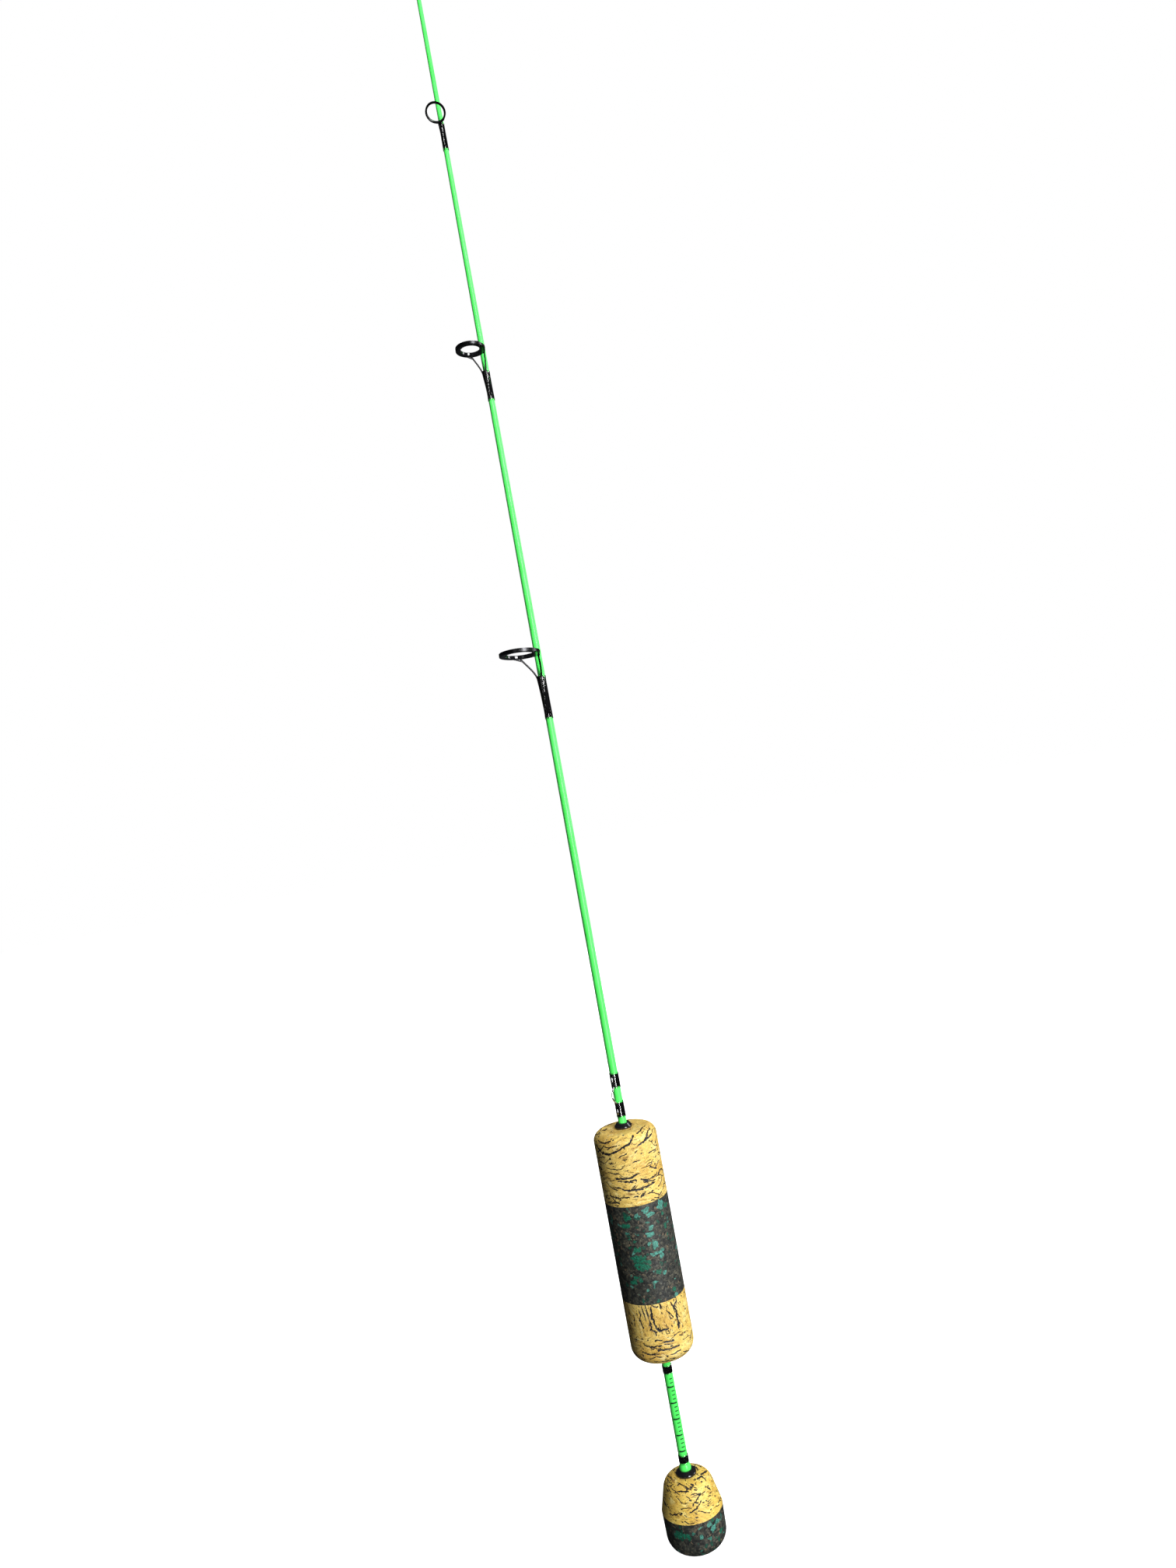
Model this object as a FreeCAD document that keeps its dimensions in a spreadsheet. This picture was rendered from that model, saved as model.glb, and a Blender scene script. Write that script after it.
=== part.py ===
import FreeCAD, Part

import math
import os

import Sketcher

# One-piece ice-fishing rod, 32 inches (812.8 mm) long, with a split cork grip and
# single-foot guides.
# The rod stands on its butt face: the origin is the centre of that face, +Z runs along the
# blank towards the tip, and the guides and the hook keeper stand out towards -Y.
# Sizes are millimetres, and angles are degrees.

SIZES = {
    # The blank is three straight tapers: radius at the start of each, and loss per millimetre.
    "blank_base": 3.2,
    "blank_top": 806.0,
    "lower_start": 0.0,
    "lower_radius": 1.85,
    "lower_taper": 0.00125,
    "middle_start": 380.0,
    "middle_radius": 1.375,
    "middle_taper": 0.0022917,
    "upper_start": 620.0,
    "upper_radius": 0.825,
    "upper_taper": 0.0017,
    # Butt grip: a rubber-cork end under one turned cork ring.
    "butt_joint": 15.0,
    "butt_top": 28.0,
    "butt_foot_radius": 11.75,
    "butt_joint_radius": 12.1,
    "butt_shoulder_radius": 8.9,
    "butt_end_rounding": 5.8,
    "butt_top_rounding": 5.4,
    # Front grip: two cork rings, three rubber-cork rings, two cork rings.
    "grip_bottom": 76.4,
    "grip_low_joint": 101.0,
    "grip_high_joint": 139.2,
    "grip_top": 166.3,
    "grip_radius": 12.5,
    "grip_bottom_rounding": 4.7,
    "grip_top_rounding": 3.65,
    # Bore of the grips, and what fills it.
    "bore_radius": 3.175,
    "arbor_radius": 3.0,
    "arbor_length": 14.0,
    "arbor_pitch": 33.0,
    "arbor_inset": 5.0,
    "butt_bore_floor": 3.0,
    "butt_arbor_base": 8.0,
    # Winding checks: tapered collars that cover the end of each bore.
    "front_check_radius": 3.5,
    "front_check_height": 2.0,
    "butt_check_radius": 4.1,
    "butt_check_height": 1.7,
    "check_rim": 0.7,
    "check_slope": 0.9,
    "check_rounding": 0.3,
    # Windings: thread with a coat of epoxy over it.
    "thread": 0.09,
    "coat": 0.09,
    "coat_lip": 0.5,
    "coat_lip_at_legs": 0.4,
    "low_trim_start": 32.7,
    "low_trim_end": 35.3,
    "high_trim_start": 68.5,
    "high_trim_end": 71.2,
    # Hook keeper: a wire bridge held by a winding on each leg.
    "keeper_wire_radius": 0.3,
    "keeper_height": 4.1,
    "keeper_low_start": 171.1,
    "keeper_low_end": 176.4,
    "keeper_high_start": 182.7,
    "keeper_high_end": 187.7,
    "keeper_winding_swell": 0.05,
    "keeper_clearance": 0.01,
    "keeper_end_inset": 0.8,
    "keeper_straight": 1.0,
    "keeper_heel_rise": 0.12,
    "keeper_shoulder_share": 0.8,
    "keeper_shoulder_run": 1.9,
    # Guide feet, as wide and thick at the root as each guide says, and how deep they start
    # inside the blank's surface before the blank hollows them.
    "foot_tip_width": 0.5,
    "foot_tip_thickness": 0.12,
    "foot_inset": 0.8,
    "foot_overhang": 0.3,
    "foot_depth_share": 0.7,
    # Guide legs: angles round the ring from its foot side, and reaches as shares of its radius.
    "leg_clearance": 0.06,
    "leg_root_inset": 1.5,
    "leg_lift": 0.3,
    "leg_lift_out": 0.05,
    "leg_bow": 0.05,
    "leg_angle": 34.0,
    "leg_reach": 0.965,
    "brace_angle": 62.0,
    "brace_start": 0.6,
    "brace_slimness": 0.85,
    # Guide rings.
    "ring_rounding": 0.3,
    "band_width_share": 0.85,
    # Tip-top: a tube over the end of the blank, with a ring carried on two legs.
    "tip_tube_base": 797.0,
    "tip_tube_top": 807.5,
    "tip_tube_bore": 0.56,
    "tip_tube_radius": 0.82,
    "tip_leg_bite": 0.7,
    "tip_leg_angle": 70.0,
    "tip_leg_start": 3.5,
    "tip_leg_straight": 1.8,
    "tip_knee_rise": 0.9,
    "tip_knee_across": 0.93,
    "tip_knee_out": 0.45,
    "tip_strap_start": 3.2,
    "tip_strap_straight": 1.6,
}

# For each guide: winding start and end, ring centre (height up the rod and distance from the
# axis), ring outside and bore diameters, ring width, band thickness, lean towards the tip,
# turn about the rod, leg thickness, how far the legs splay as they leave the winding (as a share
# of their spacing under it), foot width and foot thickness.
GUIDE_FIELDS = ("wrap_start", "wrap_end", "ring_height", "ring_offset", "outside", "bore", "width",
                "band", "lean", "turn", "leg", "splay", "foot_width", "foot_thickness")
GUIDES = (
    (330.1, 346.3, 355.4, 13.1, 15.9, 11.3, 1.4, 0.55, 6.0, 0.0, 0.72, 1.65, 2.1, 0.5),
    (457.3, 467.9, 475.3, 8.8, 11.5, 7.6, 1.3, 0.5, 7.0, 0.0, 0.62, 1.6, 1.8, 0.45),
    (557.3, 566.9, 569.6, 4.9, 8.0, 6.5, 0.9, 0.3, 38.0, 14.0, 0.46, 1.1, 1.2, 0.4),
    (633.6, 642.4, 645.0, 4.5, 7.2, 5.8, 0.9, 0.3, 38.0, 0.0, 0.44, 1.1, 1.1, 0.38),
    (697.2, 705.6, 708.0, 4.2, 6.6, 5.2, 0.9, 0.3, 38.0, 0.0, 0.42, 1.1, 1.0, 0.36),
    (751.6, 759.6, 762.0, 3.9, 6.0, 4.6, 0.9, 0.3, 38.0, 0.0, 0.40, 1.1, 0.9, 0.34),
)
TIP_RING_FIELDS = ("ring_height", "ring_offset", "outside", "bore", "width", "band", "lean", "turn", "leg")
TIP_RING = (811.053, 3.1, 5.0, 3.6, 0.9, 0.3, 35.0, 0.0, 0.44)

SECTIONS = ("upper", "middle", "lower")
FRONT_ARBORS = 3


# ---------------------------------------------------------------- document and sizes

def make_sheet(doc):
    """Put every driving dimension in the sheet, one alias to a row."""
    sheet = doc.addObject("Spreadsheet::Sheet", "Sizes")
    rows = dict(SIZES)
    for number, guide in enumerate(GUIDES, 1):
        for field, size in zip(GUIDE_FIELDS, guide):
            rows[f"guide_{number}_{field}"] = size
    for field, size in zip(TIP_RING_FIELDS, TIP_RING):
        rows[f"tip_{field}"] = size
    for row, (alias, size) in enumerate(rows.items(), 1):
        sheet.set(f"A{row}", alias)
        sheet.set(f"B{row}", str(size))
        sheet.setAlias(f"B{row}", alias)
    doc.recompute()
    return sheet


DOC = FreeCAD.newDocument("rod")
SHEET = make_sheet(DOC)


def size(alias):
    """Number in the sheet under this alias."""
    return float(SHEET.get(alias))


def cell(alias):
    """Expression that reads one cell of the sheet."""
    return f"Sizes.{alias}"


def value(expression):
    """What an expression on the sheet works out to."""
    return float(DOC.getObject("Probe").evalExpression(expression))


DOC.addObject("App::FeaturePython", "Probe")


def blank_radius(height):
    """Expression for the blank's radius at a height that is itself an expression."""
    level = value(height)
    section = next(name for name in SECTIONS if level >= size(f"{name}_start"))
    start, radius, taper = (cell(f"{section}_{field}") for field in ("start", "radius", "taper"))
    return f"({radius} - {taper} * ({height} - {start}))"


def blank_radius_at(level):
    """The blank's radius, as a number, at a height given as a number."""
    section = next(name for name in SECTIONS if level >= size(f"{name}_start"))
    drop = level - size(f"{section}_start")
    return size(f"{section}_radius") - size(f"{section}_taper") * drop


# ---------------------------------------------------------------- turned parts

def origin_item(body, role):
    """The body's own origin plane or axis with this role."""
    return next(item for item in body.Origin.OriginFeatures if item.Role == role)


def turned_body(label, corners):
    """A body turned about Z from a closed outline of (radius, height) expressions."""
    body = DOC.addObject("PartDesign::Body", label)
    body.Label = label
    sketch = body.newObject("Sketcher::SketchObject", f"{label}_outline")
    sketch.AttachmentSupport = [(origin_item(body, "XZ_Plane"), "")]
    sketch.MapMode = "FlatFace"
    points = [FreeCAD.Vector(value(radius), value(height), 0) for radius, height in corners]
    for index, point in enumerate(points):
        sketch.addGeometry(Part.LineSegment(point, points[(index + 1) % len(points)]))
    for index in range(len(points)):
        following = (index + 1) % len(points)
        sketch.addConstraint(Sketcher.Constraint("Coincident", index, 2, following, 1))
    for index, (radius, height) in enumerate(corners):
        across = Sketcher.Constraint("DistanceX", -1, 1, index, 1, points[index].x)
        up = Sketcher.Constraint("DistanceY", -1, 1, index, 1, points[index].y)
        sketch.setExpression(f"Constraints[{sketch.addConstraint(across)}]", radius)
        sketch.setExpression(f"Constraints[{sketch.addConstraint(up)}]", height)
    turning = body.newObject("PartDesign::Revolution", f"{label}_turning")
    turning.Profile = sketch
    turning.ReferenceAxis = (sketch, ["V_Axis"])
    turning.Angle = 360
    DOC.recompute()
    return body


def round_edge(body, radius_cell, edge_radius, edge_height):
    """Round the circular edges of one radius at one height, by a radius from the sheet."""
    base = body.Tip
    names = []
    for index, edge in enumerate(base.Shape.Edges, 1):
        middle = edge.CenterOfMass
        flat = abs(edge.BoundBox.ZMin - edge_height) < 1e-4 and abs(edge.BoundBox.ZMax - edge_height) < 1e-4
        if flat and abs(edge.BoundBox.XMax - edge_radius) < 1e-4 and middle.z > edge_height - 1:
            names.append(f"Edge{index}")
    rounding = body.newObject("PartDesign::Fillet", f"{body.Label}_rounding")
    rounding.Base = (base, names)
    rounding.setExpression("Radius", radius_cell)
    DOC.recompute()
    return rounding


def make_blank():
    """Solid tapered blank, from inside the butt grip to inside the tip-top's tube."""
    base, middle = cell("blank_base"), cell("middle_start")
    upper, top = cell("upper_start"), cell("blank_top")
    corners = [("0", base)]
    corners += [(blank_radius(height), height) for height in (base, middle, upper, top)]
    corners += [("0", top)]
    return turned_body("blank", corners)


def ring_body(label, low, high, low_radius, high_radius):
    """One bored grip ring between two heights."""
    bore = cell("bore_radius")
    corners = [(bore, low), (low_radius, low), (high_radius, high), (bore, high)]
    return turned_body(label, corners)


def make_front_grip():
    """Seven rings glued face to face; the end rings are rounded."""
    groups = (
        ("front_low_cork_ring", "grip_bottom", "grip_low_joint", 2),
        ("front_rubber_cork_ring", "grip_low_joint", "grip_high_joint", 3),
        ("front_high_cork_ring", "grip_high_joint", "grip_top", 2),
    )
    radius = cell("grip_radius")
    rings = []
    for name, low, high, count in groups:
        for index in range(count):
            bottom = f"{cell(low)} + ({cell(high)} - {cell(low)}) * {index} / {count}"
            top = f"{cell(low)} + ({cell(high)} - {cell(low)}) * {index + 1} / {count}"
            rings.append(ring_body(f"{name}_{index + 1}", bottom, top, radius, radius))
    round_edge(rings[0], cell("grip_bottom_rounding"), size("grip_radius"), size("grip_bottom"))
    round_edge(rings[-1], cell("grip_top_rounding"), size("grip_radius"), size("grip_top"))
    return rings


def make_butt_grip():
    """Turned cork ring over a rubber-cork end with a blind bore."""
    bore, floor, joint = cell("bore_radius"), cell("butt_bore_floor"), cell("butt_joint")
    end_corners = [("0", "0"), (cell("butt_foot_radius"), "0"), (cell("butt_joint_radius"), joint),
                   (bore, joint), (bore, floor), ("0", floor)]
    end = turned_body("butt_rubber_cork_end", end_corners)
    round_edge(end, cell("butt_end_rounding"), size("butt_foot_radius"), 0.0)
    ring = ring_body("butt_cork_ring", joint, cell("butt_top"), cell("butt_joint_radius"),
                     cell("butt_shoulder_radius"))
    round_edge(ring, cell("butt_top_rounding"), size("butt_shoulder_radius"), size("butt_top"))
    return [end, ring]


def sleeve_corners(low, high, outside):
    """Outline of a plain sleeve that fits the blank's taper."""
    return [(blank_radius(low), low), (outside, low), (outside, high), (blank_radius(high), high)]


def make_bore_fill(label, floor, top, arbors, closed):
    """Epoxy that fills a grip's bore round the blank and its tape arbors."""
    bore, arbor = cell("bore_radius"), cell("arbor_radius")
    corners = [(bore, floor), (bore, top), (blank_radius(top), top)]
    for low, high in reversed(arbors):
        corners += [(blank_radius(high), high), (arbor, high), (arbor, low), (blank_radius(low), low)]
    if closed:
        base = cell("blank_base")
        corners += [(blank_radius(base), base), ("0", base), ("0", floor)]
    else:
        corners += [(blank_radius(floor), floor)]
    return turned_body(label, corners)


def make_bore_fillings():
    """Tape arbors that centre the blank, and the epoxy round them, in both grips."""
    length = cell("arbor_length")
    first = f"{cell('grip_bottom')} + {cell('arbor_inset')}"
    front = []
    for index in range(FRONT_ARBORS):
        low = f"{first} + {cell('arbor_pitch')} * {index}"
        front.append((low, f"{low} + {length}"))
    butt = [(cell("butt_arbor_base"), f"{cell('butt_arbor_base')} + {length}")]
    pieces = [turned_body(f"front_tape_arbor_{index + 1}", sleeve_corners(low, high, cell("arbor_radius")))
              for index, (low, high) in enumerate(front)]
    pieces.append(turned_body("butt_tape_arbor", sleeve_corners(*butt[0], cell("arbor_radius"))))
    pieces.append(make_bore_fill("front_grip_epoxy", cell("grip_bottom"), cell("grip_top"), front, False))
    pieces.append(make_bore_fill("butt_grip_epoxy", cell("butt_bore_floor"), cell("butt_top"), butt, True))
    return pieces


def make_check(label, seat, radius_cell, height_cell):
    """Winding check: an upright rim, then a slope up to the blank, with rounded corners."""
    top = f"{cell(seat)} + {cell(height_cell)}"
    rim = f"{cell(seat)} + {cell('check_rim')}"
    crown = f"{blank_radius(top)} + {cell('check_slope')}"
    corners = [(blank_radius(cell(seat)), cell(seat)), (cell(radius_cell), cell(seat)),
               (cell(radius_cell), rim), (crown, top), (blank_radius(top), top)]
    body = turned_body(label, corners)
    round_edge(body, cell("check_rounding"), size(radius_cell), value(rim))
    round_edge(body, cell("check_rounding"), value(crown), value(top))
    return body


def make_trim(label, start, end):
    """A plain trim winding and its coat, on the bare blank."""
    low, high, lip = cell(f"{start}"), cell(f"{end}"), cell("coat_lip")
    thread, coat = cell("thread"), cell("coat")
    coat_low, coat_high = f"{low} - {lip}", f"{high} + {lip}"
    band = [(f"{blank_radius(low)} + {thread}", low), (f"{blank_radius(high)} + {thread}", high)]
    winding = turned_body(f"{label}_thread", [(blank_radius(low), low), *band, (blank_radius(high), high)])
    outline = [(blank_radius(coat_low), coat_low)]
    outline += [(f"{blank_radius(low)} + {thread} + {coat}", low)]
    outline += [(f"{blank_radius(high)} + {thread} + {coat}", high)]
    outline += [(blank_radius(coat_high), coat_high), (blank_radius(high), high)]
    outline += [band[1], band[0], (blank_radius(low), low)]
    return [winding, turned_body(f"{label}_coat", outline)]


def make_tip_tube():
    """Closed tube of the tip-top, over the end of the blank."""
    base, top, lid = cell("tip_tube_base"), cell("tip_tube_top"), cell("blank_top")
    bore, outside = cell("tip_tube_bore"), cell("tip_tube_radius")
    corners = [(bore, base), (outside, base), (outside, top), ("0", top), ("0", lid), (bore, lid)]
    return turned_body("tip_top_tube", corners)


# ---------------------------------------------------------------- guide rings

def station(prefix):
    """Placement of a guide: on the blank's axis, turned about the rod."""
    turn = FreeCAD.Rotation(FreeCAD.Vector(0, 0, 1), size(f"{prefix}_turn"))
    return FreeCAD.Placement(FreeCAD.Vector(0, 0, 0), turn)


def ring_placement(prefix):
    """Placement of a ring's centre and axis: off the blank towards -Y, leaning to the tip."""
    centre = FreeCAD.Vector(0, -size(f"{prefix}_ring_offset"), size(f"{prefix}_ring_height"))
    lean = FreeCAD.Rotation(FreeCAD.Vector(1, 0, 0), -size(f"{prefix}_lean"))
    return station(prefix).multiply(FreeCAD.Placement(centre, lean))


def make_ring(prefix, label):
    """Hard ring that the line runs through, with both mouths of its bore rounded."""
    bore = f"{cell(f'{prefix}_bore')} / 2"
    outside = f"{cell(f'{prefix}_outside')} / 2 - {cell(f'{prefix}_band')}"
    half = f"{cell(f'{prefix}_width')} / 2"
    corners = [(bore, f"-{half}"), (outside, f"-{half}"), (outside, half), (bore, half)]
    body = turned_body(label, corners)
    for level in (-value(half), value(half)):
        round_edge(body, cell("ring_rounding"), value(bore), level)
    body.Placement = ring_placement(prefix)
    return body


# ---------------------------------------------------------------- guide frames

def wire_pipe(points, radius):
    """Round wire along a smooth curve through the points."""
    curve = Part.BSplineCurve()
    curve.interpolate(points)
    start = curve.tangent(curve.FirstParameter)[0]
    section = Part.Wire([Part.Circle(points[0], start, radius).toShape()])
    return Part.Wire([curve.toShape()]).makePipeShell([section], True, True)


def ring_point(prefix, angle, reach):
    """Point at an angle from the ring's foot side, at a share of its outside radius."""
    radius = size(f"{prefix}_outside") / 2 * reach
    turn = math.radians(angle)
    local = FreeCAD.Vector(radius * math.sin(turn), radius * math.cos(turn), 0)
    centre = FreeCAD.Vector(0, -size(f"{prefix}_ring_offset"), size(f"{prefix}_ring_height"))
    lean = FreeCAD.Rotation(FreeCAD.Vector(1, 0, 0), -size(f"{prefix}_lean"))
    return FreeCAD.Placement(centre, lean).multVec(local)


def ring_band(prefix):
    """Flat band round the hard ring."""
    outer = size(f"{prefix}_outside") / 2
    inner = outer - size(f"{prefix}_band")
    width = size(f"{prefix}_width") * size("band_width_share")
    low = FreeCAD.Vector(0, 0, -width / 2)
    return Part.makeCylinder(outer, width, low).cut(Part.makeCylinder(inner, width, low))


def ring_core(prefix):
    """Round slug the size of the hard ring, which keeps the frame out of the ring."""
    inner = size(f"{prefix}_outside") / 2 - size(f"{prefix}_band")
    length = size(f"{prefix}_width") * 3
    return Part.makeCylinder(inner, length, FreeCAD.Vector(0, 0, -length / 2))


def fused(shapes):
    """One shape from several that touch, joined one after another."""
    whole = shapes[0]
    for shape in shapes[1:]:
        whole = whole.fuse(shape)
    return whole


def largest_solid(shape):
    """The main solid of a cut, without any crumbs that it left."""
    return max(shape.Solids, key=lambda solid: solid.Volume)


def placed(shape, placement):
    """Copy of a shape at a placement."""
    copy = shape.copy()
    copy.Placement = placement.multiply(copy.Placement)
    return copy


def flat_section(level, half_width, low, high):
    """Rectangle across the foot at one height; low and high are distances from the axis."""
    corners = [(-half_width, -low), (half_width, -low), (half_width, -high), (-half_width, -high)]
    points = [FreeCAD.Vector(x, y, level) for x, y in corners]
    return Part.makePolygon(points + points[:1])


def guide_foot(prefix):
    """Tapered foot along the blank under the winding; the blank later hollows its underside."""
    low = size(f"{prefix}_wrap_start") + size("foot_inset")
    high = size(f"{prefix}_wrap_end") + size("foot_overhang")
    ends = (
        (low, size("foot_tip_width"), size("foot_tip_thickness")),
        (high, size(f"{prefix}_foot_width"), size(f"{prefix}_foot_thickness")),
    )
    sections = []
    for level, width, thickness in ends:
        radius = blank_radius_at(level)
        sections.append(flat_section(level, width / 2, radius * size("foot_depth_share"), radius + thickness))
    return Part.makeLoft(sections, True, True)


def guide_legs(prefix):
    """Two legs from the foot to the ring, each with a small brace that leaves a slot."""
    leg = size(f"{prefix}_leg") / 2
    root = size(f"{prefix}_wrap_end")
    rise = blank_radius_at(root) + leg + size("leg_clearance")
    spread = size(f"{prefix}_foot_width") / 2 - leg
    pieces = []
    for side in (-1, 1):
        joint = ring_point(prefix, side * size("leg_angle"), size("leg_reach"))
        cheek = ring_point(prefix, side * size("brace_angle"), size("leg_reach"))
        start = FreeCAD.Vector(side * spread, -rise, root - size("leg_root_inset"))
        lift = FreeCAD.Vector(side * spread * size(f"{prefix}_splay"), -rise - size("leg_lift_out"),
                              root + size("leg_lift"))
        run = joint - lift
        knee = (lift + joint) * 0.5 + FreeCAD.Vector(0, size("leg_bow"), 0) * run.Length
        pieces.append(wire_pipe([start, lift, knee, joint], leg))
        elbow = knee + (joint - knee) * size("brace_start")
        reach = cheek - elbow
        pieces.append(Part.makeCylinder(leg * size("brace_slimness"), reach.Length, elbow, reach))
    return pieces


def make_frame(prefix, label, blank):
    """Guide frame: foot, legs and ring band in one piece, resting on the blank."""
    ring_at = ring_placement(prefix)
    local_ring = station(prefix).inverse().multiply(ring_at)
    band = placed(ring_band(prefix), local_ring)
    shape = fused([guide_foot(prefix)] + guide_legs(prefix) + [band])
    shape = shape.cut(placed(ring_core(prefix), local_ring)).cut(blank.Shape)
    return add_shape(label, largest_solid(shape), station(prefix))


def make_tip_frame():
    """Ring band of the tip-top on its two legs, brazed to the tube."""
    leg = size("tip_leg") / 2
    top = size("tip_tube_top")
    clear = size("tip_tube_radius") + leg * size("tip_leg_bite")
    pieces = []
    for side in (-1, 1):
        joint = ring_point("tip", side * size("tip_leg_angle"), 1)
        start = FreeCAD.Vector(side * clear, 0, top - size("tip_leg_start"))
        lift = FreeCAD.Vector(side * clear, 0, top - size("tip_leg_straight"))
        knee = FreeCAD.Vector(joint.x * size("tip_knee_across"), joint.y * size("tip_knee_out"),
                              top + size("tip_knee_rise"))
        pieces.append(wire_pipe([start, lift, knee, joint], leg))
    strap = ring_point("tip", 0, 1)
    heel = FreeCAD.Vector(0, -clear, top - size("tip_strap_start"))
    bend = FreeCAD.Vector(0, -clear, top - size("tip_strap_straight"))
    pieces.append(wire_pipe([heel, bend, strap], leg))
    local_ring = ring_placement("tip")
    band = placed(ring_band("tip"), local_ring)
    shape = fused([band] + pieces).cut(placed(ring_core("tip"), local_ring))
    base = size("tip_tube_base")
    tube = Part.makeCylinder(size("tip_tube_radius"), 2 * (top - base), FreeCAD.Vector(0, 0, base))
    return add_shape("tip_top_frame", largest_solid(shape.cut(tube)), station("tip"))


def add_shape(label, shape, placement):
    """Document object for a shape made with Part's own functions."""
    item = DOC.addObject("Part::Feature", label)
    item.Label = label
    item.Shape = shape
    item.Placement = placement
    return item


# ---------------------------------------------------------------- windings over a foot

def hull_wire(level, blank, bump, reach):
    """Outline round the blank and a round bump on its -Y side, at one height."""
    tangent = math.acos((blank - bump) / reach)
    sine, cosine = math.sin(tangent), math.cos(tangent)
    big = [FreeCAD.Vector(side * blank * sine, -blank * cosine, level) for side in (-1, 1)]
    small = [FreeCAD.Vector(side * bump * sine, -reach - bump * cosine, level) for side in (-1, 1)]
    back = FreeCAD.Vector(0, blank, level)
    front = FreeCAD.Vector(0, -reach - bump, level)
    edges = [Part.Arc(big[0], back, big[1]).toShape(), Part.LineSegment(big[1], small[1]).toShape(),
             Part.Arc(small[1], front, small[0]).toShape(), Part.LineSegment(small[0], big[0]).toShape()]
    return Part.Wire(edges)


def foot_hull(levels, tip, root, skin):
    """Solid round the blank and a tapered foot, a skin's thickness outside both.

    tip and root are (height, half width, thickness) of the foot at its two ends."""
    wires = []
    for level in levels:
        share = (level - tip[0]) / (root[0] - tip[0])
        half_width = tip[1] + (root[1] - tip[1]) * share
        thickness = tip[2] + (root[2] - tip[2]) * share
        radius = blank_radius_at(level)
        reach = radius + thickness - half_width
        wires.append(hull_wire(level, radius + skin, half_width * math.sqrt(2) + skin, reach))
    return Part.makeLoft(wires, True, True)


def make_foot_winding(label, start, end, tip, root, cutters, placement):
    """Thread and coat over a foot, cut clear of the blank and of what they bind."""
    thread, coat = size("thread"), size("coat")
    inner = foot_hull((start, end), tip, root, thread)
    low, high = start - size("coat_lip"), end + size("coat_lip_at_legs")
    outer = foot_hull((low, high), tip, root, thread + coat)
    winding = inner.cut(cutters)
    skin = outer.cut([inner] + cutters)
    return [add_shape(f"{label}_thread", largest_solid(winding), placement),
            add_shape(f"{label}_coat", largest_solid(skin), placement)]


def make_guide_winding(number, frame, blank):
    """Winding of one guide, over its foot."""
    prefix = f"guide_{number}"
    start, end = size(f"{prefix}_wrap_start"), size(f"{prefix}_wrap_end")
    tip = (start, size("foot_tip_width") / 2, size("foot_tip_thickness"))
    root = (end, size(f"{prefix}_foot_width") / 2, size(f"{prefix}_foot_thickness"))
    local_frame = frame.Shape.copy()
    local_frame.Placement = FreeCAD.Placement()
    return make_foot_winding(prefix, start, end, tip, root, [blank.Shape, local_frame], station(prefix))


def make_keeper():
    """Wire bridge with a straight leg under each of its windings."""
    wire = size("keeper_wire_radius")
    low, low_end = size("keeper_low_start"), size("keeper_low_end")
    high_start, high = size("keeper_high_start"), size("keeper_high_end")
    rest = blank_radius_at(low) + wire + size("keeper_clearance")
    heel = rest + size("keeper_heel_rise")
    inset, straight, run = (size(f"keeper_{name}") for name in ("end_inset", "straight", "shoulder_run"))
    middle = (low_end + high_start) / 2
    crown = size("keeper_height")
    shoulder = crown * size("keeper_shoulder_share")
    path = [(rest, low + inset), (rest, low_end - straight), (heel, low_end), (shoulder, middle - run),
            (crown, middle), (shoulder, middle + run), (heel, high_start),
            (rest, high_start + straight), (rest, high - inset)]
    shape = wire_pipe([FreeCAD.Vector(0, -offset, level) for offset, level in path], wire)
    return add_shape("hook_keeper", shape, FreeCAD.Placement())


def make_keeper_windings(keeper, blank):
    """The two windings that bind the keeper's legs."""
    wire = size("keeper_wire_radius")
    half_width = wire / math.sqrt(2)
    pieces = []
    for name in ("low", "high"):
        start, end = size(f"keeper_{name}_start"), size(f"keeper_{name}_end")
        tip = (start, half_width, wire + half_width)
        root = (end, half_width, wire + half_width + size("keeper_winding_swell"))
        pieces += make_foot_winding(f"keeper_{name}", start, end, tip, root,
                                    [blank.Shape, keeper.Shape], FreeCAD.Placement())
    return pieces


# ---------------------------------------------------------------- assembly and export

def make_rod():
    """Every sub-part of the rod, in the order of the blank from butt to tip."""
    blank = make_blank()
    parts = [blank] + make_butt_grip() + make_front_grip() + make_bore_fillings()
    parts.append(make_check("butt_winding_check", "butt_top", "butt_check_radius", "butt_check_height"))
    parts.append(make_check("front_winding_check", "grip_top", "front_check_radius", "front_check_height"))
    parts += make_trim("low_trim", "low_trim_start", "low_trim_end")
    parts += make_trim("high_trim", "high_trim_start", "high_trim_end")
    keeper = make_keeper()
    parts += [keeper] + make_keeper_windings(keeper, blank)
    for number in range(1, len(GUIDES) + 1):
        frame = make_frame(f"guide_{number}", f"guide_{number}_frame", blank)
        parts += [frame, make_ring(f"guide_{number}", f"guide_{number}_ring")]
        parts += make_guide_winding(number, frame, blank)
    parts += [make_tip_tube(), make_tip_frame(), make_ring("tip", "tip_top_ring")]
    return parts


def check_document(parts):
    """Stop on any object that failed, or any sub-part with a bad shape."""
    DOC.recompute()
    for item in DOC.Objects:
        if "Invalid" in item.State or "Error" in item.State:
            raise RuntimeError(f"{item.Name} failed: {item.State}")
    for part in parts:
        if part.Shape.isNull() or not part.Shape.isValid() or part.Shape.Volume <= 0:
            raise RuntimeError(f"{part.Label} has a bad shape")


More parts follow.
